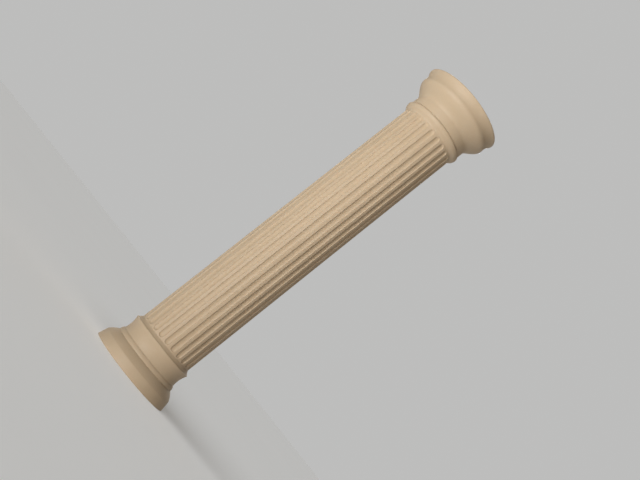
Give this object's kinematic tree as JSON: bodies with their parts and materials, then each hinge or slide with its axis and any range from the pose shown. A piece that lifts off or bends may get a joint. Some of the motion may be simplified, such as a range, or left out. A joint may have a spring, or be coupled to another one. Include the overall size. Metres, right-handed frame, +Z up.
{
  "type": "miniature classical column",
  "caption": "Slender fluted column in one piece: moulded round base, straight shaft with round-ended flutes, and a flaring capital with a flat top.",
  "frame": {"origin": "centre of the flat underside of the base", "axes": "+Z up along the column's axis, from the base to the capital; a flute faces -Y"},
  "size_m": [0.0352, 0.0352, 0.15],
  "materials": {
    "beige_plastic": "smooth matte beige plastic with a soft sheen, no paint and no patina"
  },
  "bodies": {
    "root": {"column": "beige_plastic"}
  },
  "joints": []
}
